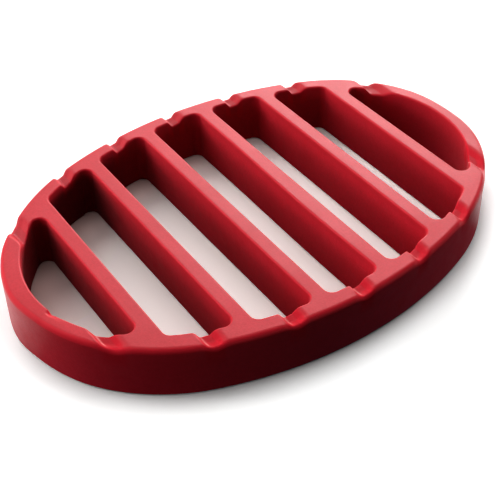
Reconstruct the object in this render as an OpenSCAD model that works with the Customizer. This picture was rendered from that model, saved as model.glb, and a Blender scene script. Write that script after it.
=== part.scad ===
// Oval slatted roasting rack, moulded in silicone rubber.
// An oval rim stands on edge and carries a row of parallel slats; rim and
// slats share one flat underside and one flat top.  Shallow drain notches
// cross the top of the rim in the middle of every opening.
// Millimetres, +Z up.  The origin is the centre of the oval on the plane the
// rack stands on; +X runs along the length, +Y along the slats to the back.

/* [Overall size] */
// Overall length of the oval, over the rim's base
length = 289; // [280:1:300]
// Overall width of the oval, over the rim's base
width = 192; // [186:1:200]
// Height from the resting plane to the carrying plane
height = 31; // [24:1:36]

/* [Rim] */
// Thickness of the rim wall at its base
rim_w = 10; // [9:0.25:12]
// How far the outer wall leans in between base and top
outer_draft = 0.6; // [0.2:0.1:1.2]
// How far the inner wall and the slat sides lean back between base and top
inner_draft = 0.3; // [0.1:0.05:0.6]
// Radius on the rim's outer top edge
top_round = 2.8; // [1.5:0.1:3.5]
// Radius on the rim's outer bottom edge
base_round = 1; // [0.5:0.1:1.6]

/* [Slats] */
// Spacing of the slats, centre to centre
slat_pitch = 40; // [38:0.5:41]
// Thickness of a slat at its base
slat_w = 9.1; // [8:0.1:10]
// Radius blending a slat into the rim, seen from above
root_fillet = 4.5; // [3:0.25:5.5]

/* [Drain notches] */
// Nominal width of a notch at the top face
notch_w = 10.8; // [8:0.2:13]
// Depth of a notch below the top face, at the rim's inner edge
notch_depth = 3.7; // [2:0.1:5]
// Share of that depth that is left at the rim's outer edge
notch_fade = 0.75; // [0.5:0.05:1]
// Depth of the small nick in the inner edge of the rim's left end
nick_depth = 4; // [1:0.1:4.5]

/* [Hidden] */
$fn = 96;
silicone_red = [0.80, 0.09, 0.14];
slat_count = 6;

// ---- Oval ----
// Eight-centre oval.  Each quadrant runs through an end arc, a shoulder arc
// and a side arc that meet tangentially.  The normals at the two joints lie
// along the 3-4-5 and the 44-117-125 triangle.
half_length = length / 2;
half_width = width / 2;
excess = half_length - half_width;
end_joint = [0.8, 0.6];
side_joint = [0.352, 0.936];

// Growth in radius from arc to arc.  The two shares belong together: they
// bring the side arc's centre onto the Y axis.
shoulder_step = 0.7 * excess;
side_step = 2.5 * excess;
end_r = half_width - (1 - end_joint.y) * shoulder_step - (1 - side_joint.y) * side_step;
shoulder_r = end_r + shoulder_step;
side_r = shoulder_r + side_step;
end_c = [half_length - end_r, 0];
shoulder_c = end_c - shoulder_step * end_joint;
side_c = [0, half_width - side_r];

// Each arc is cut out of a full ring by a triangular sector
sector_reach = 500;
sector_margin = 5;  // above and below the rack

function flip_x(v) = [-v.x, v.y];
function flip_y(v) = [v.x, -v.y];

// Every arc of the oval: centre, radius, normals at its two ends
arcs = [
    [end_c, end_r, flip_y(end_joint), end_joint],
    [shoulder_c, shoulder_r, end_joint, side_joint],
    [side_c, side_r, side_joint, flip_x(side_joint)],
    [flip_x(shoulder_c), shoulder_r, flip_x(side_joint), flip_x(end_joint)],
    [-end_c, end_r, flip_x(end_joint), -end_joint],
    [-shoulder_c, shoulder_r, -end_joint, -side_joint],
    [-side_c, side_r, -side_joint, flip_y(side_joint)],
    [flip_y(shoulder_c), shoulder_r, flip_y(side_joint), flip_y(end_joint)]
];

// Sweeps a section round the oval.  The section is drawn with x = 0 on the
// outer base line and negative x towards the middle.
module round_oval() {
    for (arc = arcs)
        intersection() {
            translate([arc[0].x, arc[0].y, 0])
                rotate_extrude($fn = 360) translate([arc[1], 0]) children();
            translate([arc[0].x, arc[0].y, -sector_margin])
                linear_extrude(height = height + 2 * sector_margin)
                    polygon([[0, 0], sector_reach * arc[2], sector_reach * arc[3]]);
        }
}

// Whether direction v lies between the Y axis and the joint's normal
function before(v, joint) = v.x * joint.y <= v.y * joint.x;

// The point at x on the upper half of a circle; the floor keeps the root real
function circle_point(x, centre, radius) =
    [x, centre.y + sqrt(max(0.01, radius * radius - (x - centre.x) * (x - centre.x)))];

// The point at x on the oval moved inwards by inset, for x >= 0 and y > 0:
// [point, centre of its arc]
function inside(x, inset) =
    let (on_side = circle_point(x, side_c, side_r - inset),
         on_shoulder = circle_point(x, shoulder_c, shoulder_r - inset),
         on_end = circle_point(x, end_c, end_r - inset))
    before(on_side - side_c, side_joint) ? [on_side, side_c]
    : before(on_shoulder - shoulder_c, end_joint) ? [on_shoulder, shoulder_c]
    : [on_end, end_c];

// ---- Rim ----
// Centres of the two roundings, tangent to the leaning outer wall and to the
// top face or the underside
lean = atan(outer_draft / height);
top_level = height - top_round;
top_c = [-outer_draft * top_level / height - top_round / cos(lean), top_level];
base_c = [-outer_draft * base_round / height - base_round / cos(lean), base_round];

// Points of an arc for a rounded corner
function corner(centre, radius, from, to, steps) = [
    for (i = [0 : steps])
        let (angle = from + (to - from) * i / steps)
        centre + radius * [cos(angle), sin(angle)]
];

module rim_section() {
    polygon(concat(
        [[-rim_w, 0]],
        corner(base_c, base_round, -90, lean, 4),
        corner(top_c, top_round, lean, 90, 8),
        [[-rim_w + inner_draft, height]]
    ));
}

// Slope of a notch's floor, which climbs towards the outside
notch_tilt = atan(notch_depth * (1 - notch_fade) / rim_w);
notch_length = 4.4 * rim_w;
notch_clear = 3;  // height of the cutter above the top face

// Notch outline, z = 0 on the top face: steep on the left, a floor that
// climbs slowly to the right, then a short right side
notch_outline = [
    [-0.62 * notch_w, notch_clear],
    [-0.44 * notch_w, 0],
    [-0.16 * notch_w, -notch_depth],
    [0.30 * notch_w, -0.8 * notch_depth],
    [0.54 * notch_w, 0],
    [0.76 * notch_w, notch_clear]
];

// The cutter for one drain notch.  n is the opening counted from the middle
// and side is +1 behind, -1 in front.
module notch(n, side) {
    translate([n * slat_pitch, side * inside(abs(n) * slat_pitch, rim_w)[0].y, height])
        rotate([side * notch_tilt, 0, 0])
            rotate([90, 0, 0])
                linear_extrude(height = notch_length, center = true)
                    polygon(notch_outline);
}

// Nick outline [y, z], in front of the X axis and deepest near its back end
nick_outline = [
    [-7, height + 1],
    [-8.5, height],
    [-11.5, height - nick_depth],
    [-24, height],
    [-27, height + 1]
];
nick_start = 0.8 * rim_w;  // from the rim's outer base line
nick_length = 20;          // towards the middle, past the inner wall

module nick() {
    translate([-half_length + nick_start, 0, 0])
        rotate([90, 0, 90])
            linear_extrude(height = nick_length) polygon(nick_outline);
}

module rim() {
    last = slat_count / 2;
    color(silicone_red)
        difference() {
            round_oval() rim_section();
            for (n = [-last : last], side = [-1, 1]) notch(n, side);
            nick();
        }
}

// ---- Slats ----
// Slats and fillets are drawn into the rim wall, then trimmed at its inner face
slat_inset = rim_w - 6;
fillet_inset = rim_w - 5;
fillet_overlap = 3;  // past the inner wall, along the normal
trim_reach = 12;     // past the outer base line

// Everything outside the rim's inner wall, to trim the slat ends
module outside_section() {
    slope = inner_draft / height;
    polygon([
        [-rim_w - slope, -1],
        [trim_reach, -1],
        [trim_reach, height + 1],
        [-rim_w + inner_draft + slope, height + 1]
    ]);
}

// One root fillet, drawn in the quadrant x > 0, y > 0.  slat_x is the slat's
// centre line and side is +1 or -1 for its outboard or inboard face.
module root(slat_x, side) {
    face_x = slat_x + side * slat_w / 2;
    found = inside(face_x + side * root_fillet, rim_w + root_fillet);
    centre = found[0];
    normal = (centre - found[1]) / norm(centre - found[1]);
    difference() {
        linear_extrude(height = height)
            polygon([
                [slat_x, centre.y],
                centre,
                centre + normal * (root_fillet + fillet_overlap),
                inside(face_x, fillet_inset)[0],
                inside(slat_x, fillet_inset)[0]
            ]);
        translate([centre.x, centre.y, 0])
            cylinder(r1 = root_fillet, r2 = root_fillet + inner_draft, h = height);
    }
}

module slat_section() {
    base = slat_w / 2;
    top = base - inner_draft;
    polygon([[-base, 0], [base, 0], [top, height], [-top, height]]);
}

// Slat number n, counted from the left end
module slat(n) {
    slat_x = (n - (slat_count + 1) / 2) * slat_pitch;
    left = slat_x < 0 ? 1 : 0;
    reach = inside(abs(slat_x), slat_inset)[0].y;
    color(silicone_red)
        difference() {
            union() {
                translate([slat_x, 0, 0]) rotate([90, 0, 0])
                    linear_extrude(height = 2 * reach, center = true) slat_section();
                for (end = [0, 1], side = [-1, 1])
                    mirror([0, end, 0]) mirror([left, 0, 0]) root(abs(slat_x), side);
            }
            round_oval() outside_section();
        }
}

module slat_1() { slat(1); }
module slat_2() { slat(2); }
module slat_3() { slat(3); }
module slat_4() { slat(4); }
module slat_5() { slat(5); }
module slat_6() { slat(6); }

rim();
slat_1();
slat_2();
slat_3();
slat_4();
slat_5();
slat_6();
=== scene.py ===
"""Oval slatted roasting rack in red silicone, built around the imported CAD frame.

The whole rack is one moulding: an oval rim with six slats across it.  Each CAD
node gets a piece of the same shape with the moulding's soft edges: rounded top
and bottom edges, blended slat roots, drain notches and a small nick.

The rack stands on z = 0 with its middle at the origin.  Its length lies along x
(right is +x) and its width along y (the back is +y).  Lengths are in
millimetres until a mesh is made, then metres.
"""

import math

import bpy
import numpy as np
from mathutils import Matrix, Vector


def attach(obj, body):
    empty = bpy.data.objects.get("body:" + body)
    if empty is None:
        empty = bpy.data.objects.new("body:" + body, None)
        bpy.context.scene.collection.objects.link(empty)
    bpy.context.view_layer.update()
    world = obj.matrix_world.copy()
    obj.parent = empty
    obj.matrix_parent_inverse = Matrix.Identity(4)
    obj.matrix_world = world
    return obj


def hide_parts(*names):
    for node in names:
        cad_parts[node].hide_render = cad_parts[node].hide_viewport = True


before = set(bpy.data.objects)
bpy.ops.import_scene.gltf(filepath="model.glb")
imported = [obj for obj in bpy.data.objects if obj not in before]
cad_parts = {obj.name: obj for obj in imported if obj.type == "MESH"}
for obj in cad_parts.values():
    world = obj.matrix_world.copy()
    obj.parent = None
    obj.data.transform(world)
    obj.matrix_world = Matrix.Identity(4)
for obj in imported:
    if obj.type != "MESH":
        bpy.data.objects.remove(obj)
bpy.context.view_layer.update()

PI = math.pi

# ----------------------------------------------------------------- dimensions
HALF_LENGTH, HALF_WIDTH, HEIGHT = 144.5, 96.0, 31.0
RIM_WIDTH = 10.0                     # rim wall at the base
DRAFT_OUT, DRAFT_IN = 0.6, 0.3       # lean of the outer and of the inner walls
TOP_RADIUS_OUT, TOP_RADIUS_IN = 2.9, 1.15
BOTTOM_RADIUS_OUT, BOTTOM_RADIUS_IN = 1.0, 0.8
PITCH, SLAT_WIDTH = 40.0, 9.1
ROOT_RADIUS = 4.5                    # blend of a slat's side into the rim

# Mesh steps
WALL_STEPS = 16                      # up a wall, between its rounded edges
TOP_FLAT_STEPS, BOTTOM_FLAT_STEPS = 13, 5
ROOT_STEPS, HALF_SLAT_STEPS, ACROSS_STEPS = 14, 40, 12
FINE_STEP, COARSE_STEP = 0.38, 1.48  # along the rim, at the cuts and elsewhere
SAMPLE = 0.05                        # sampling of the oval and of the cut profiles

# ------------------------------------------------------------------- the oval
# Each quarter is an end arc, a shoulder arc and half a side arc.  They meet
# where the normal points along END_JOINT and SIDE_JOINT.
EXCESS = HALF_LENGTH - HALF_WIDTH
END_JOINT, SIDE_JOINT = np.array([0.8, 0.6]), np.array([0.352, 0.936])
END_ANGLE = math.atan2(END_JOINT[1], END_JOINT[0])
SIDE_ANGLE = math.atan2(SIDE_JOINT[1], SIDE_JOINT[0])
SHOULDER_GAIN = 0.7 * EXCESS         # shoulder radius over end radius
END_RADIUS = HALF_WIDTH - 0.44 * EXCESS
SHOULDER_RADIUS = END_RADIUS + SHOULDER_GAIN
SIDE_RADIUS = SHOULDER_RADIUS + 2.5 * EXCESS
END_CENTRE = np.array([HALF_LENGTH - END_RADIUS, 0.0])
SHOULDER_CENTRE = END_CENTRE - SHOULDER_GAIN * END_JOINT
SIDE_CENTRE = np.array([0.0, HALF_WIDTH - SIDE_RADIUS])
FLIP_X, FLIP_Y = np.array([-1.0, 1.0]), np.array([1.0, -1.0])

# (centre, radius, first angle, last angle), anticlockwise from the right end
OVAL_ARCS = [
    (END_CENTRE, END_RADIUS, -END_ANGLE, END_ANGLE),
    (SHOULDER_CENTRE, SHOULDER_RADIUS, END_ANGLE, SIDE_ANGLE),
    (SIDE_CENTRE, SIDE_RADIUS, SIDE_ANGLE, PI - SIDE_ANGLE),
    (SHOULDER_CENTRE * FLIP_X, SHOULDER_RADIUS, PI - SIDE_ANGLE, PI - END_ANGLE),
    (END_CENTRE * FLIP_X, END_RADIUS, PI - END_ANGLE, PI + END_ANGLE),
    (-SHOULDER_CENTRE, SHOULDER_RADIUS, PI + END_ANGLE, PI + SIDE_ANGLE),
    (-SIDE_CENTRE, SIDE_RADIUS, PI + SIDE_ANGLE, 2 * PI - SIDE_ANGLE),
    (SHOULDER_CENTRE * FLIP_Y, SHOULDER_RADIUS, 2 * PI - SIDE_ANGLE, 2 * PI - END_ANGLE),
]


def smooth(t):
    """Smooth step from 0 at t = 0 to 1 at t = 1."""
    t = np.clip(t, 0.0, 1.0)
    return t * t * (3 - 2 * t)


def hump(value, centre, spread):
    """Bell curve, 1 at the centre."""
    return np.exp(-((value - centre) / spread) ** 2)


def inset_of(x, y):
    """How far inside the outer base line a point lies, near enough for the cuts."""
    x, y = np.abs(x), np.abs(y)
    inset = np.full(np.shape(x), np.nan)
    for centre, radius, first, last in OVAL_ARCS[:3]:
        from_x, from_y = x - centre[0], y - centre[1]
        angle = np.arctan2(from_y, from_x)
        inside = (angle >= first - 1e-9) & (angle <= last + 1e-9)
        inset = np.where(np.isnan(inset) & inside, radius - np.hypot(from_x, from_y), inset)
    return np.nan_to_num(inset, nan=20.0)


# ------------------------------------------------------------------- the cuts
def profile(points, sigma, pad=6.0):
    """A broken line through the points, smoothed, as (place, value) samples."""
    places, values = np.array(points, float).T
    x = np.arange(places[0] - pad, places[-1] + pad, SAMPLE)
    y = np.interp(x, places, values)
    n = int(4 * sigma / SAMPLE)
    kernel = np.exp(-0.5 * (np.arange(-n, n + 1) * SAMPLE / sigma) ** 2)
    y = np.convolve(np.pad(y, n, mode="edge"), kernel / kernel.sum(), mode="valid")
    return x, y


# Drain notch across the rim: (x from its middle, share of its depth).  At the
# inner edge it has a steep left side, a floor that climbs slowly and a short
# right side; at the outer edge it is worn to a shallow dip.
NOTCH_IN = profile([(-10, 0), (-4.7, 0), (-4.0, 0.1), (-1.9, 0.93), (-0.9, 1), (3.1, 0.80),
                    (4.9, 0.28), (6.4, 0.05), (7.4, 0), (10, 0)], sigma=0.32)
NOTCH_OUT = profile([(-10, 0), (-6.6, 0), (-1.2, 1), (0.8, 1), (5.8, 0.05), (7, 0), (10, 0)],
                    sigma=0.75)
# The same at the outer edge of the back half, where the cuts stayed crisp
NOTCH_BACK = profile([(-10, 0), (-5.2, 0), (-4.3, 0.12), (-2.3, 0.93), (-1.2, 1), (2.4, 0.92),
                      (4.5, 0.12), (5.4, 0), (10, 0)], sigma=0.38)
# Nick at the left end, at the inner edge: (y, depth)
NICK = profile([(-30, 0), (-25.5, 0.15), (-19.7, 1.0), (-17.4, 2.0), (-16.6, 2.3), (-15.7, 1.7),
                (-14.9, 0.7), (-14.2, 0.15), (-13, 0), (-6, 0)], sigma=0.3)
NOTCH_DEPTH_IN, NOTCH_DEPTH_OUT, NOTCH_DEPTH_BACK = 3.75, 2.0, 2.9


def notch_number(x):
    """The nearest notch, -3 to 3; notches stand at whole pitches."""
    return np.clip(np.round(x / PITCH), -3, 3)


def cut_depth(x, y):
    """How far the top surface drops at (x, y)."""
    inset = np.clip(inset_of(x, y), 0.0, RIM_WIDTH)
    across = inset / RIM_WIDTH
    number = notch_number(x)
    # the cut is a little different from one notch to the next, as moulded
    skew = 0.12 * np.sin(2.3 * number + 1.1 * np.sign(y))
    vary = 1 + 0.035 * np.sin(1.7 * number + 2.0 * np.sign(y))
    along = x - number * PITCH - skew
    inner = smooth((inset - 1.2) / 4.6)
    lip = np.where(y > 0, NOTCH_DEPTH_BACK * np.interp(along, *NOTCH_BACK),
                   NOTCH_DEPTH_OUT * np.interp(along, *NOTCH_OUT))
    notch = vary * (NOTCH_DEPTH_IN * inner * np.interp(along, *NOTCH_IN) + (1 - inner) * lip)
    # the nick is shallow and shifted in y towards the outer edge
    at_left_end = np.where(x < -100.0, 1.0, 0.0)
    share = 0.09 + 0.91 * smooth((across - 0.60) / 0.40)
    nick = at_left_end * share * np.interp(y + 3.4 * (1 - across) - 0.4, *NICK)
    return np.maximum(notch, nick)


def cut_slope(x, y, step):
    """Slope of the cut depth along x and y, measured over one step either side."""
    return ((cut_depth(x + step, y) - cut_depth(x - step, y)) / (2 * step),
            (cut_depth(x, y + step) - cut_depth(x, y - step)) / (2 * step))


def follow(z):
    """Share of the cut a point at height z moves by, and how fast the share grows with z."""
    start, span = HEIGHT - 15.0, 10.5
    t = (z - start) / span
    return smooth(t), np.where((t > 0) & (t < 1), 6 * t * (1 - t) / span, 0.0)


def carve(points, normals):
    """Lowers points under the cuts and turns their normals to match."""
    x, y, z = points[..., 0], points[..., 1], points[..., 2]
    depth = cut_depth(x, y)
    slope_x, slope_y = cut_slope(x, y, step=0.02)
    share, growth = follow(z)
    stretch = 1 - depth * growth
    moved, turned = points.copy(), normals.copy()
    moved[..., 2] = z - depth * share
    turned[..., 0] += slope_x * share * normals[..., 2] / stretch
    turned[..., 1] += slope_y * share * normals[..., 2] / stretch
    turned[..., 2] /= stretch
    return moved, turned / np.linalg.norm(turned, axis=-1, keepdims=True)


# ------------------------------------------------------------------- profiles
# A profile row is (inset, z, normal away from the rim's middle line, normal up).
def corner_rows(side, inset, z, radius, first, last, steps):
    """Rows round a corner with its centre at (inset, z)."""
    return [(inset - side * radius * math.cos(t), z + radius * math.sin(t),
             side * math.cos(t), math.sin(t)) for t in np.linspace(first, last, steps + 1)]


def wall_rows(side, base, draft, bottom_radius, top_radius, bottom_steps, top_steps):
    """A wall from the bottom flat's edge to the top flat's edge.

    side is 1 for the outer wall and -1 for the inner; base is its inset at z = 0.
    """
    lean = math.atan(draft / HEIGHT)

    def corner(z, radius, first, last, steps):
        inset = base + side * (draft * z / HEIGHT + radius / math.cos(lean))
        return corner_rows(side, inset, z, radius, first, last, steps)

    low = corner(bottom_radius, bottom_radius, -PI / 2, lean, bottom_steps)
    top = corner(HEIGHT - top_radius, top_radius, lean, PI / 2, top_steps)
    start, end = low[-1], top[0]
    wall = [(start[0] + (end[0] - start[0]) * t, start[1] + (end[1] - start[1]) * t,
             start[2], start[3]) for t in np.linspace(0, 1, WALL_STEPS + 1)[1:-1]]
    return low + wall + top


def flat_rows(start, end, z, up, steps):
    """Rows strictly between two insets on the top or bottom flat."""
    return [(inset, z, 0.0, up) for inset in np.linspace(start, end, steps + 1)[1:-1]]


OUTER = wall_rows(side=1, base=0.0, draft=DRAFT_OUT, bottom_radius=BOTTOM_RADIUS_OUT,
                  top_radius=TOP_RADIUS_OUT, bottom_steps=5, top_steps=10)
# also the slats' sides
INNER = wall_rows(side=-1, base=RIM_WIDTH, draft=DRAFT_IN, bottom_radius=BOTTOM_RADIUS_IN,
                  top_radius=TOP_RADIUS_IN, bottom_steps=4, top_steps=8)


# ---------------------------------------------------------------------- marks
def edge_weight(rows):
    """Weight of the painted light on the rounded edges, as if light soaked in: 1 on the
    rounding, fading down the walls.
    """
    weights = []
    for _, z, _, up in rows:
        tilt = math.degrees(math.acos(max(-1.0, min(1.0, abs(up)))))
        if z > HEIGHT / 2:
            weight = float(smooth((tilt - 4) / 22)) * (1 - 0.2 * float(smooth((tilt - 50) / 40)))
            if tilt > 85:
                weight *= math.exp(-max(0.0, HEIGHT - TOP_RADIUS_IN - z) / 2.4)
        else:
            weight = 0.2 * float(smooth(tilt / 30)) * math.exp(-z / 1.0)
        weights.append(weight)
    return np.array(weights)


def slot_weight(rows, first=0):
    """1 on the walls inside the slots, 0 on the tops and on rows before the first."""
    return np.array([float(k >= first) * float(smooth((HEIGHT - 1.5 - row[1]) / 5.0))
                     * float(row[1] > 0.0) for k, row in enumerate(rows)])


def near_side(normal_x, normal_y):
    """Share of the painted edge light an edge shows: most where it faces the near left side."""
    return 0.2 + 0.8 * smooth((0.6 - 0.56 * normal_x - 0.83 * normal_y) / 0.9)


# ----------------------------------------------------------------------- mesh
def settle(points):
    """The small unevenness of a floppy moulding, about a millimetre."""
    points = np.array(points, float)
    x, y, z = points.T.copy()
    inset = inset_of(x, y)
    outer = smooth((7.5 - inset) / 5.0)
    front_inner = smooth((-y - 35.0) / 25.0) * smooth((inset - 2.5) / 4.5)
    # the front wall is thicker, more so at the left and by the slot at x = -80
    dy = (1.0 - 0.3 * np.clip(x / 100.0, -1, 1) + 0.7 * hump(x, -80.0, 20.0)) * front_inner
    # the left end bulges and the right end is drawn in
    bulge = np.where(x < 0, smooth((y + 16.0) / 25.0) * smooth((70.0 - y) / 30.0),
                     hump(y, 1.0, 17.0))
    dx = np.where(x < 0, -1.5, -1.2) * bulge * smooth((np.abs(x) - 95.0) / 35.0) * outer
    # the left end is drawn in near its front
    dx += 0.7 * hump(y, -28.0, 18.0) * smooth((-x - 95.0) / 25.0) * outer
    # the back right corner is pushed out
    corner = hump(x, 115.0, 20.0) * smooth((y - 12.0) / 25.0) * outer
    dx += 0.4 * corner
    dy += 0.6 * corner
    # the left side of the fourth slat is out of line
    dx -= (0.65 + 0.5 * smooth(z / HEIGHT)) * hump(x, 15.5, 5.0) * hump(y, -25.0, 50.0)
    points[:, 0] += dx
    points[:, 1] += dy
    return points


def make_object(name, verts, faces, normals, per_corner, slot, **marks):
    """A smooth object in metres, with its normals and point attributes."""
    verts = settle(verts)
    mesh = bpy.data.meshes.new(name)
    mesh.from_pydata((verts / 1000.0).tolist(), [], faces)
    mesh.polygons.foreach_set("use_smooth", np.ones(len(mesh.polygons), bool))
    x, y = verts[:, 0], verts[:, 1]
    # painted shade and light in the slots: darker towards the back left, lighter right of the
    # middle
    middle_right_light = 0.30 * smooth((x + 60.0) / 70.0) * (1 - 0.7 * smooth((x - 60.0) / 50.0))
    back_left_shade = 0.60 * smooth((y - 25.0) / 45.0) * smooth((-x - 10.0) / 70.0)
    marks["slot_shading"] = slot * (middle_right_light - back_left_shade)
    # the front and the left end are a little more matt, as if more handled
    marks["handled"] = np.maximum(smooth((-y - 45.0) / 35.0),
                                  smooth((-x - 108.0) / 22.0) * smooth((35.0 - y) / 40.0))
    for mark, values in marks.items():
        attribute = mesh.attributes.new(mark, "FLOAT", "POINT")
        attribute.data.foreach_set("value", np.asarray(values, np.float32))
    if per_corner:
        mesh.normals_split_custom_set(normals.tolist())
    else:
        mesh.normals_split_custom_set_from_vertices(normals.tolist())
    mesh.update()
    obj = bpy.data.objects.new(name, mesh)
    bpy.context.scene.collection.objects.link(obj)
    return obj


# ------------------------------------------------------------------------ rim
def rim_stations():
    """Stations round the oval, close together at the notches and the nick.

    Each is (arc radius, angle, arc centre x, arc centre y).
    """
    places, stations = [], []
    for centre, radius, first, last in OVAL_ARCS:
        n = int((last - first) * radius / SAMPLE)
        angle = first + (last - first) * (np.arange(n) + 0.5) / n
        direction = np.stack([np.cos(angle), np.sin(angle)], 1)
        places.append(centre + (radius - RIM_WIDTH / 2) * direction)
        stations.append(np.stack([np.full(n, radius), angle,
                                  np.full(n, centre[0]), np.full(n, centre[1])], 1))
    x, y = np.concatenate(places).T
    stations = np.concatenate(stations)
    off_notch = np.abs(x - notch_number(x) * PITCH)
    step = FINE_STEP + (COARSE_STEP - FINE_STEP) * smooth((off_notch - 8.0) / 5.0)
    at_nick = (x < -120) & (y > -31) & (y < -1)
    step = np.where(at_nick, FINE_STEP, step)
    step = np.convolve(np.pad(step, 60, mode="wrap"), np.ones(121) / 121, mode="valid")
    steps_so_far = np.concatenate([[0], np.cumsum(SAMPLE / step)])
    count = int(math.ceil(steps_so_far[-1]))
    wanted = np.arange(count) / count * steps_so_far[-1]
    picked = np.interp(wanted, steps_so_far, np.arange(len(steps_so_far)))
    return stations[np.clip(picked.astype(int), 0, len(stations) - 1)]


def build_rim():
    top_flat = flat_rows(OUTER[-1][0], INNER[-1][0], HEIGHT, 1.0, TOP_FLAT_STEPS)
    bottom_flat = flat_rows(INNER[0][0], OUTER[0][0], 0.0, -1.0, BOTTOM_FLAT_STEPS)
    rows = OUTER + top_flat + INNER[::-1] + bottom_flat
    inset, height, outward, up = np.array(rows).T
    radius, angle, centre_x, centre_y = rim_stations().T[:, :, None]
    cos, sin = np.cos(angle), np.sin(angle)
    station_count, row_count = len(angle), len(rows)

    points = np.zeros((station_count, row_count, 3))
    normals = np.zeros_like(points)
    points[..., 0] = centre_x + (radius - inset) * cos
    points[..., 1] = centre_y + (radius - inset) * sin
    points[..., 2] = height
    normals[..., 0] = outward * cos
    normals[..., 1] = outward * sin
    normals[..., 2] = up

    facing = np.sign(outward)
    edge = edge_weight(rows) * near_side(facing * cos, facing * sin)
    dull, flash = np.zeros_like(edge), np.zeros_like(edge)
    upper = height > 8
    x, y, z = np.moveaxis(points[:, upper], -1, 0)
    share, _ = follow(z)
    cut_inset = inset_of(x, y)
    # the sloping sides of the notches get the same painted light as the rounded edges
    steepness = np.hypot(*cut_slope(x, y, step=0.15))
    sloping = share * 0.6 * smooth((cut_inset - 1.5) / 2.5) * smooth(steepness / 0.7)
    edge[:, upper] = np.clip(edge[:, upper] + sloping, 0, 1)
    # inside the cuts the front half is matt; a thin pale painted highlight line
    # runs at the foot of the left side
    dull[:, upper] = share * smooth(cut_depth(x, y) / 1.4) * smooth((10.0 - y) / 20.0)
    line = hump(x - notch_number(x) * PITCH, -1.75, 0.42)
    flash[:, upper] = share * line * smooth((cut_inset - 2.6) / 1.6) * (y < 0)
    points[:, upper], normals[:, upper] = carve(points[:, upper], normals[:, upper])

    faces = []
    for s in range(station_count):
        here, there = s * row_count, (s + 1) % station_count * row_count
        for j in range(row_count):
            above = (j + 1) % row_count
            faces.append((here + j, there + j, there + above, here + above))
    slot = np.tile(slot_weight(rows, first=len(OUTER) + len(top_flat)), station_count)
    return make_object("rack_rim", points.reshape(-1, 3), faces, normals.reshape(-1, 3),
                       per_corner=False, slot=slot, edge=edge.reshape(-1),
                       dull=dull.reshape(-1), flash=flash.reshape(-1))


# ---------------------------------------------------------------------- slats
def find_arc(x, inset):
    """The arc carrying the point at x >= 0 on the oval moved in by the inset, and its angle."""
    for centre, radius, first, last in OVAL_ARCS[2::-1]:
        if abs(x - centre[0]) > radius - inset:
            continue
        angle = math.acos((x - centre[0]) / (radius - inset))
        if first <= angle < last:
            return centre, radius, angle
    raise ValueError("no arc")


def slat_side(slat_x, side):
    """One side of a slat, from its back root to its front root.

    Returns points at the base line, plan normals pointing into the slot, and
    the rim arc the root stands on.
    """
    side_x = slat_x + side * SLAT_WIDTH / 2
    centre, radius, angle = find_arc(side_x + side * ROOT_RADIUS, RIM_WIDTH + ROOT_RADIUS)
    root = centre + (radius - RIM_WIDTH - ROOT_RADIUS) * np.array([math.cos(angle),
                                                                   math.sin(angle)])
    turn = np.linspace(angle, PI if side > 0 else 0.0, ROOT_STEPS + 1)
    direction = np.stack([np.cos(turn), np.sin(turn)], 1)
    y = np.linspace(root[1], 0, HALF_SLAT_STEPS + 1)[1:]
    straight = np.stack([np.full(len(y), side_x), y], 1)
    points = np.concatenate([root + ROOT_RADIUS * direction, straight])
    normals = np.concatenate([-direction, np.tile([float(side), 0.0], (len(y), 1))])
    points, normals = (np.concatenate([half, half[::-1][1:] * FLIP_Y])
                       for half in (points, normals))
    return points, normals, (centre, radius, angle)


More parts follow.
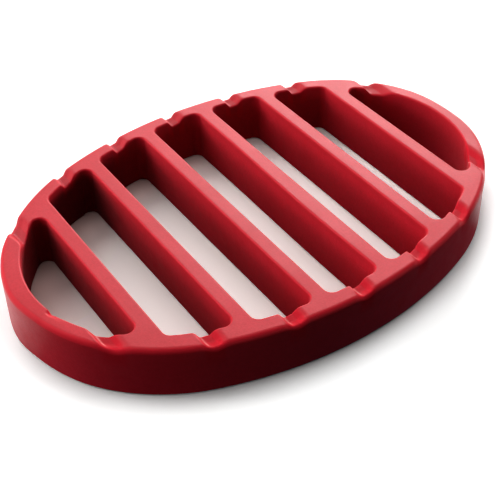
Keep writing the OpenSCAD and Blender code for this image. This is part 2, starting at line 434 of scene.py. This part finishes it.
def build_slat(number):
    """A slat built at x > 0 and mirrored if it stands at x < 0.

    A vertex is found by its station i (back to front), column m (across, from
    the side nearer the middle of the rack) and row j (up).  Only the shell exists.
    """
    slat_x = (number - 3.5) * PITCH
    mirror = slat_x < 0
    near_points, near_normals, (centre, radius, near_angle) = slat_side(abs(slat_x), -1)
    far_points, far_normals, (_, _, far_angle) = slat_side(abs(slat_x), 1)
    sides = {0: (near_points, near_normals), ACROSS_STEPS: (far_points, far_normals)}
    last = len(near_points) - 1
    inset, height, outward, up = np.array(INNER).T
    narrowing = RIM_WIDTH - inset
    top = len(INNER) - 1

    def side_point(i, m, j):
        points, plan_normals = sides[m]
        return np.append(points[i] - plan_normals[i] * narrowing[j], height[j])

    def side_normal(i, m, j):
        return np.append(sides[m][1][i] * -outward[j], up[j])

    def end_direction(m):
        angle = near_angle + (far_angle - near_angle) * m / ACROSS_STEPS
        return np.array([math.cos(angle), math.sin(angle)])

    def end_flip(i):
        return np.array([1.0, 1.0]) if i == 0 else FLIP_Y

    def end_point(i, m, j):
        plan = centre + (radius - RIM_WIDTH + narrowing[j]) * end_direction(m)
        return np.append(plan * end_flip(i), height[j])

    def end_normal(i, m, j):
        return np.append(end_direction(m) * end_flip(i) * -outward[j], -up[j])

    def flat_point(i, m, j):
        """Between the sides, drawn towards the curve of the end face near the ends."""
        across = m / ACROSS_STEPS
        start, end = side_point(i, 0, j), side_point(i, ACROSS_STEPS, j)
        point = start + (end - start) * across
        reach = ROOT_STEPS + 4
        for end_station in (0, last):
            steps = abs(i - end_station)
            if steps < reach:
                start = end_point(end_station, 0, j)
                end = end_point(end_station, ACROSS_STEPS, j)
                sag = end_point(end_station, m, j) - (start + (end - start) * across)
                point = point + sag * (1 - steps / reach) ** 1.5
        return point

    def flat_normal(i, m, j):
        return np.array([0, 0, 1.0 if j == top else -1.0])

    verts, faces, normals, index = [], [], [], {}

    def vertex(i, m, j):
        if (i, m, j) not in index:
            index[i, m, j] = len(verts)
            place = side_point if m in sides else end_point if i in (0, last) else flat_point
            verts.append(place(i, m, j))
        return index[i, m, j]

    def quad(corners, normal_at, flip=False):
        ids = [vertex(*corner) for corner in corners]
        turned = [normal_at(*corner) for corner in corners]
        if flip != mirror:
            ids, turned = ids[::-1], turned[::-1]
        faces.append(tuple(ids))
        normals.extend(turned)

    for i in range(last):
        for j in range(top):
            quad([(i, 0, j), (i + 1, 0, j), (i + 1, 0, j + 1), (i, 0, j + 1)], side_normal)
            m = ACROSS_STEPS
            quad([(i, m, j), (i, m, j + 1), (i + 1, m, j + 1), (i + 1, m, j)], side_normal)
        for m in range(ACROSS_STEPS):
            for j in (top, 0):
                quad([(i, m, j), (i, m + 1, j), (i + 1, m + 1, j), (i + 1, m, j)],
                     flat_normal, flip=j == top)
    for i in (0, last):
        for m in range(ACROSS_STEPS):
            for j in range(top):
                quad([(i, m, j), (i, m, j + 1), (i, m + 1, j + 1), (i, m + 1, j)],
                     end_normal, flip=i == last)

    verts, normals = np.array(verts), np.array(normals)
    if mirror:
        verts[:, 0] *= -1
        normals[:, 0] *= -1
    edge, slot = np.zeros(len(verts)), np.zeros(len(verts))
    row_edge, row_slot = edge_weight(INNER), slot_weight(INNER)
    for (i, m, j), v in index.items():
        if m in sides:
            normal_x, normal_y = sides[m][1][i]
            edge[v] = row_edge[j] * near_side(-normal_x if mirror else normal_x, normal_y)
            slot[v] = row_slot[j]
    return make_object("rack_slat_%d" % number, verts, faces, normals,
                       per_corner=True, slot=slot, edge=edge)


# --------------------------------------------------------------- shader nodes
class Value:
    """An output socket; arithmetic on it adds Math nodes."""

    def __init__(self, graph, socket):
        self.graph, self.socket = graph, socket

    def __add__(self, other):
        return self.graph.math("ADD", self, other)

    def __radd__(self, other):
        return self.graph.math("ADD", other, self)

    def __sub__(self, other):
        return self.graph.math("SUBTRACT", self, other)

    def __rsub__(self, other):
        return self.graph.math("SUBTRACT", other, self)

    def __mul__(self, other):
        return self.graph.math("MULTIPLY", self, other)

    def __truediv__(self, other):
        return self.graph.math("DIVIDE", self, other)

    def __pow__(self, other):
        return self.graph.math("POWER", self, other)

    def __abs__(self):
        return self.graph.math("ABSOLUTE", self, 0.0)


class Graph:
    """The node tree of a material or world, with short ways to add nodes."""

    def __init__(self, owner, clear=True):
        owner.use_nodes = True
        self.tree = owner.node_tree
        if clear:
            self.tree.nodes.clear()

    def feed(self, node, inputs):
        """Links Values to a node's inputs and sets plain numbers on them."""
        for key, value in inputs.items():
            if isinstance(value, Value):
                self.tree.links.new(value.socket, node.inputs[key])
            else:
                node.inputs[key].default_value = value

    def node(self, kind, inputs=None, **settings):
        node = self.tree.nodes.new(kind)
        for key, value in settings.items():
            setattr(node, key, value)
        self.feed(node, inputs or {})
        return node

    def add(self, kind, output, inputs=None, **settings):
        """Adds a node and returns one of its outputs."""
        return Value(self, self.node(kind, inputs, **settings).outputs[output])

    def math(self, operation, *operands):
        return self.add("ShaderNodeMath", 0, dict(enumerate(operands)), operation=operation)

    def exp(self, value):
        return self.math("EXPONENT", value, 0.0)

    def remap(self, value, start, end, low=0.0, high=1.0, **settings):
        """low where the value is at start, high where it is at end."""
        return self.add("ShaderNodeMapRange", "Result",
                        {"From Min": start, "From Max": end, "To Min": low, "To Max": high,
                         "Value": value}, **settings)

    def ramp(self, value, start, end, low=0.0, high=1.0):
        """remap with eased ends."""
        return self.remap(value, start, end, low, high, interpolation_type="SMOOTHSTEP")

    def mix(self, factor, first, second):
        """Colour mix; 0, 6 and 7 are the node's factor and colour sockets."""
        return self.add("ShaderNodeMix", 2, {0: factor, 6: first, 7: second}, data_type="RGBA")

    def attribute(self, name):
        return self.add("ShaderNodeAttribute", "Fac", attribute_name=name)

    def bump(self, height, strength, distance, **inputs):
        return self.add("ShaderNodeBump", "Normal",
                        {"Strength": strength, "Distance": distance, "Height": height, **inputs})


# ------------------------------------------------------------------- silicone
PIGMENT_DEEP, PIGMENT_CLEAR = (0.54, 0.0074, 0.0178, 1), (0.61, 0.0113, 0.0247, 1)
CLOUD_RED, SPECK_RED = (0.65, 0.0180, 0.0350, 1), (0.44, 0.0053, 0.0125, 1)
# red of the painted light on the rounded edges
LIT_EDGE_RED = (0.74, 0.0150, 0.0300, 1)
# pale pink of the painted highlight line in the front notches, and pink of the rub marks
HIGHLIGHT_PINK, RUB_PINK = (0.88, 0.36, 0.34, 1), (0.80, 0.16, 0.17, 1)


def silicone_colour(graph, noise, edge, rub):
    # pigment: slow drift, small clouds, a fine speckle
    drift = graph.remap(noise(scale=28, detail=2), 0.35, 0.65)
    cloud = graph.remap(noise(scale=210, detail=3, rough=0.6), 0.3, 0.7)
    speck = graph.remap(noise(scale=800, detail=2, rough=0.6), 0.35, 0.7)
    base = graph.mix(drift, PIGMENT_DEEP, PIGMENT_CLEAR)
    base = graph.mix(cloud * 0.35, base, CLOUD_RED)
    base = graph.mix(speck * 0.40, base, SPECK_RED)
    # painted light: the rounded edges and notch slopes are painted a clearer red,
    # as if light soaked in, most where they face the near left side
    edge_light = edge * graph.remap(noise(scale=95, detail=3), 0.3, 0.7, low=0.8, high=1.0)
    base = graph.mix(edge_light, base, LIT_EDGE_RED)
    # painted highlight: a thin pale line at the foot of each front notch's left side
    flash_cover = graph.remap(noise(scale=300, detail=2), 0.3, 0.7, low=0.45, high=0.85)
    base = graph.mix(graph.attribute("flash") * flash_cover, base, HIGHLIGHT_PINK)
    base = graph.mix(rub * 0.16, base, RUB_PINK)
    # the deep slots stay dark: surfaces give each other less red than they show,
    # and the painted slot shade and light scale the colour
    seen = graph.add("ShaderNodeLightPath", "Is Camera Ray")
    share = graph.remap(seen, 0, 1, low=0.45, high=1.0) * (graph.attribute("slot_shading") + 1.0)
    return graph.add("ShaderNodeVectorMath", "Vector", {0: base, "Scale": share},
                     operation="SCALE")


def silicone(name):
    """Opaque satin silicone: even pigment, fine matt grain, soft waviness, faint rub marks;
    painted light on the edges, painted notch highlights, painted slot shade and light.
    """
    material = bpy.data.materials.new(name)
    graph = Graph(material)
    place = graph.add("ShaderNodeTexCoord", "Object")
    place = graph.add("ShaderNodeMapping", "Vector", {"Vector": place})

    def noise(scale, detail, rough=0.5, vector=place):
        return graph.add("ShaderNodeTexNoise", "Fac",
                         {"Scale": scale, "Detail": detail, "Roughness": rough,
                          "Vector": vector})

    # faint rub marks in patches, long and thin, mostly level
    squeezed = graph.add("ShaderNodeMapping", "Vector",
                         {"Scale": (1.0, 1.0, 14.0), "Vector": place})
    rub = graph.remap(noise(scale=46, detail=4, rough=0.62, vector=squeezed), 0.655, 0.72)
    rub = rub * graph.remap(noise(scale=19, detail=1), 0.52, 0.64)
    edge = graph.attribute("edge")

    # the gloss is weaker on the edges, in the cuts and where handled
    gloss = 0.5 - edge * 0.26 - graph.attribute("dull") * 0.34
    gloss = gloss * (1.0 - graph.attribute("handled") * 0.27)
    rough = graph.remap(noise(scale=120, detail=4, rough=0.6), 0.3, 0.7, low=0.40, high=0.50)

    grain = graph.bump(noise(scale=1100, detail=3, rough=0.65), strength=0.55, distance=0.00012)
    wave = graph.bump(noise(scale=75, detail=2), strength=0.30, distance=0.0006, Normal=grain)
    surface = graph.add("ShaderNodeBsdfPrincipled", "BSDF", {
        "Base Color": silicone_colour(graph, noise, edge, rub),
        "Roughness": rough + rub * 0.10,
        "IOR": 1.45,
        "Specular IOR Level": graph.math("MAXIMUM", gloss, 0.04),
        "Sheen Weight": 0.05,
        "Sheen Roughness": 0.45,
        "Sheen Tint": (1.0, 0.75, 0.75, 1),
        "Normal": wave,
    })
    graph.node("ShaderNodeOutputMaterial", {"Surface": surface})
    return material


# --------------------------------------------------------------------- pieces
pieces = {"rim": build_rim()}
for number in range(1, 7):
    pieces["slat_%d" % number] = build_slat(number)
for cad_node, piece in pieces.items():
    piece.data.materials.append(silicone("silicone_" + cad_node))
    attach(piece, "root")
    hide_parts(cad_node)

# ---------------------------------------------------------------------- floor
FLOOR_HALF, FLOOR_Z = 3, -0.0002     # metres
LENGTH_DM, WIDTH_DM = HALF_LENGTH / 100, HALF_WIDTH / 100

# (channel, tint inside the oval, loss to the painted red bounce from the walls, tint outside)
FLOOR_TINTS = (("Red", 1.075, 0.06, 1.03), ("Green", 0.99, 0.34, 1.03),
               ("Blue", 0.955, 0.37, 1.025))


def floor_lift(graph, x, y, oval, outside, inside):
    """Colour of the sheet as the camera sees it, with the rack's shadows and light painted in,
    from x and y in decimetres.

    oval is 0 at the middle of the rack and 1 on its outline.
    """
    ramp, exp = graph.ramp, graph.exp
    # painted shadow and light: masks that fade outwards from the outline, over three distances
    near = exp((1.0 - oval) / 0.12)
    wide = exp((1.0 - oval) / 0.45)
    contact = exp((1.0 - oval) / 0.06)

    # between the slats: painted light and shade, a level with slopes along x and y, other slopes
    # at the back
    back = ramp(oval, 0.40, 0.80) * graph.math("GREATER_THAN", y, 0.0)
    lift_in = (1.39 + x * 0.236 + y * -0.188 + x * y * 0.387
               + back * (-0.333 + x * -0.213))
    # painted shade: a little darker at the far ends of the slots, but for the right
    tips = ramp(oval, 0.60, 0.90) * ramp(y, 0.2, 0.6) * ramp(x, 0.3, 1.0, low=1.0, high=0.0)
    lift_in = lift_in * (1.0 - tips * 0.16)

    # round the rack: painted shadow and light, level and slopes, close to the outline and
    # further off
    lift_near = (1.663 + near * (0.055 + x * -0.166 + y * 2.166)
                 + wide * (-0.664 + x * 0.224 + y * -1.292)
                 + x * -0.205 + y * -0.459
                 + wide * ramp(y, -0.9, -0.5, low=1.0, high=0.0) * 0.12)
    # even brightness behind the rack, with a painted contact shadow where it stands on the sheet
    behind_x, behind_y = (x - 0.18) / LENGTH_DM, (y - 0.265) / WIDTH_DM
    hidden = ramp(abs(behind_x) ** 2.0 + abs(behind_y) ** 2.0, 0.80, 0.97, low=1.0, high=0.0)
    lift_near = lift_near * (1.0 - hidden) + hidden * (1.15 + contact * -0.5)
    # never darker than this floor, which has a painted contact shadow at the outline,
    # never brighter than 2.6, and even far away
    lowest = ramp(y, 0.1, 0.5, low=0.6, high=1.15) * (1.0 - contact * 0.4)
    far = ramp(oval, 1.9, 2.6)
    lift_out = graph.math("MINIMUM", graph.math("MAXIMUM", lift_near, lowest), 2.6)
    lift_out = lift_out * (1.0 - far) + far * 1.9

    # painted red bounce: the far ends of the left slots take a little red from the walls
    red_bounce = ramp(oval, 0.30, 0.85) * ramp(y, -0.3, 0.4) * ramp(x, -0.2, 0.8, low=1.0, high=0.0)
    channels = {}
    for channel, tint_in, loss, tint_out in FLOOR_TINTS:
        channels[channel] = (lift_in * inside * ((1.0 - red_bounce * loss) * tint_in)
                             + lift_out * outside * tint_out)
    return graph.add("ShaderNodeCombineColor", 0, channels)


def floor_material():
    """A pale sheet lifted to white round the rack, as a lit sweep is.

    The rack gets little of it back from the front and from between the slats,
    where a dark flag would stand.
    """
    material = bpy.data.materials.new("floor")
    graph = Graph(material)
    position = graph.add("ShaderNodeNewGeometry", "Position")
    split = graph.node("ShaderNodeSeparateXYZ", {0: position})
    y_metres = Value(graph, split.outputs["Y"])
    x, y = Value(graph, split.outputs["X"]) * 10.0, y_metres * 10.0
    oval = (x / LENGTH_DM) ** 2.0 + (y / WIDTH_DM) ** 2.0
    outside = graph.ramp(oval, 0.90, 0.99)
    inside = 1.0 - outside

    def emission(colour, **inputs):
        return graph.add("ShaderNodeEmission", 0, {"Color": colour, **inputs})

    def diffuse(colour):
        return graph.add("ShaderNodeBsdfDiffuse", 0, {"Color": colour})

    def sector(centre, half):
        """1 in this direction (degrees from the right end), 0 from half degrees either side."""
        turn = graph.math("ARCTAN2", y / WIDTH_DM, x / LENGTH_DM)
        off = graph.math("WRAP", turn - math.radians(centre), PI, -PI)
        return graph.math("MAXIMUM", 1.0 - abs(off) / math.radians(half), 0.0)

    # seen by the camera: far from the rack the sheet is plain white up to the horizon
    seen = diffuse(floor_lift(graph, x, y, oval, outside, inside))
    plain = emission((1.0, 1.0, 1.0, 1))
    reach = graph.math("SQRT", abs(x) ** 2.0 + abs(y) ** 2.0, 0.0)
    pale = graph.add("ShaderNodeMixShader", 0,
                     {0: graph.ramp(reach, 3.5, 7.0), 1: seen, 2: plain})

    # given back to the rack, less from the front
    bounce = diffuse(graph.ramp(y_metres, -0.09, 0.02, low=0.01, high=0.06) * outside
                     + inside * 0.02)
    path = graph.node("ShaderNodeLightPath")
    glossy = Value(graph, path.outputs["Is Glossy Ray"])
    # pale reflections of the sheet in the two ends of the rack
    power = (sector(centre=148, half=40) * 2.0 + sector(centre=0, half=45) * 6.0) * outside
    glow = emission((1.0, 0.97, 0.95, 1), Strength=power * glossy)
    # and a little cold light in the gloss of the shaded walls
    cold = emission((0.1, 0.45, 1.0, 1), Strength=glossy * outside * 0.035)
    glows = graph.add("ShaderNodeAddShader", 0, {0: glow, 1: cold})
    given = graph.add("ShaderNodeAddShader", 0, {0: bounce, 1: glows})

    camera_ray = Value(graph, path.outputs["Is Camera Ray"])
    surface = graph.add("ShaderNodeMixShader", 0, {0: camera_ray, 1: given, 2: pale})
    graph.node("ShaderNodeOutputMaterial", {"Surface": surface})
    return material


scene = bpy.context.scene
scene.view_settings.view_transform = "Standard"
scene.view_settings.look = "None"

floor_mesh = bpy.data.meshes.new("floor")
floor_corners = [(x * FLOOR_HALF, y * FLOOR_HALF, FLOOR_Z)
                 for x, y in ((-1, -1), (1, -1), (1, 1), (-1, 1))]
floor_mesh.from_pydata(floor_corners, [], [(0, 1, 2, 3)])
floor = bpy.data.objects.new("floor", floor_mesh)
scene.collection.objects.link(floor)
floor_mesh.materials.append(floor_material())

# ---------------------------------------------------------------------- world
# Full strength to the camera, almost nothing to the rack
world = bpy.data.worlds.new("studio")
scene.world = world
sky = Graph(world, clear=False)
camera_ray = sky.add("ShaderNodeLightPath", "Is Camera Ray")
sky.feed(sky.tree.nodes["Background"],
         {"Color": (1.0, 0.98, 0.97, 1),
          "Strength": sky.remap(camera_ray, 0, 1, low=0.004, high=1.0)})

# --------------------------------------------------------------------- lights
LAMP_DISTANCE = 1.3                  # metres

# (name, azimuth, elevation, width, height, watts of fill, watts of sheen), in
# degrees and metres; azimuth 0 is behind (+y), 90 is right (+x).  Each box is a
# fill and a sheen lamp in one place, so that the gloss and the lit colour can be
# balanced apart, as polarising sheets do in a studio.  Boxes stand behind and on
# both sides, almost nothing in front.
SOFTBOXES = (
    ("top", 0, 85, 0.9, 0.9, 3.4, 0.0),
    ("right_high", 60, 60, 0.9, 0.9, 1.8, 0.0),
    ("left_high", -60, 60, 0.9, 0.9, 0.8, 0.0),
    ("back_mid", 0, 35, 0.8, 0.7, 9.4, 2.1),
    ("back_right_mid", 45, 35, 0.8, 0.7, 0.0, 7.6),
    ("back_left_mid", -45, 35, 0.8, 0.7, 3.7, 3.0),
    ("back_right_low", 45, 14, 0.7, 0.4, 15.1, 8.7),
    ("back_left_low", -45, 14, 0.7, 0.4, 6.4, 1.9),
    ("right_low", 90, 14, 0.7, 0.4, 6.3, 0.0),
    ("left_low", -90, 14, 0.7, 0.4, 2.6, 0.0),
    ("front_right_low", 135, 14, 0.7, 0.4, 0.6, 0.8),
    ("front_low", 180, 14, 0.7, 0.4, 0.0, 0.4),
)


def area_lamp(name, azimuth, elevation, width, height, power):
    """A rectangular lamp aimed at the middle of the rack."""
    azimuth, elevation = math.radians(azimuth), math.radians(elevation)
    where = (LAMP_DISTANCE * math.sin(azimuth) * math.cos(elevation),
             LAMP_DISTANCE * math.cos(azimuth) * math.cos(elevation),
             LAMP_DISTANCE * math.sin(elevation))
    data = bpy.data.lights.new(name, "AREA")
    data.shape = "RECTANGLE"
    data.size, data.size_y = width, height
    data.energy = power
    lamp = bpy.data.objects.new(name, data)
    lamp.location = where
    aim = Vector((0, 0, 0)) - Vector(where)
    lamp.rotation_euler = aim.to_track_quat("-Z", "Y").to_euler()
    scene.collection.objects.link(lamp)
    return lamp


for name, *box, fill, sheen in SOFTBOXES:
    if fill:
        area_lamp(name + "_fill", *box, fill).visible_glossy = False
    if sheen:
        area_lamp(name + "_sheen", *box, sheen).visible_diffuse = False

# --------------------------------------------------------------------- camera
# Front left of the rack; azimuth from the front (-y) towards the right, in degrees
CAMERA_AZIMUTH, CAMERA_ELEVATION, CAMERA_ROLL = -34.3004, 42.1114, -0.7749
CAMERA_BACK, CAMERA_RIGHT, CAMERA_UP = 0.5667, -0.003952, -0.00796  # metres, own axes
SENSOR_WIDTH, FOCAL_LENGTH = 36.0, 71.5752

azimuth, elevation, roll = (math.radians(v) for v in
                            (CAMERA_AZIMUTH, CAMERA_ELEVATION, CAMERA_ROLL))
back = np.array([math.sin(azimuth) * math.cos(elevation),
                 -math.cos(azimuth) * math.cos(elevation), math.sin(elevation)])
level_right = np.array([math.cos(azimuth), math.sin(azimuth), 0.0])
level_up = np.cross(back, level_right)
right = level_right * math.cos(roll) + level_up * math.sin(roll)
up = -level_right * math.sin(roll) + level_up * math.cos(roll)
place = back * CAMERA_BACK + right * CAMERA_RIGHT + up * CAMERA_UP
camera_data = bpy.data.cameras.new("camera")
camera_data.sensor_width = SENSOR_WIDTH
camera_data.lens = FOCAL_LENGTH
camera = bpy.data.objects.new("camera", camera_data)
camera.matrix_world = Matrix([[right[i], up[i], back[i], place[i]] for i in range(3)]
                             + [[0, 0, 0, 1]])
scene.collection.objects.link(camera)
scene.camera = camera

# ----------------------------------------------------------------------- update
bpy.context.view_layer.update()
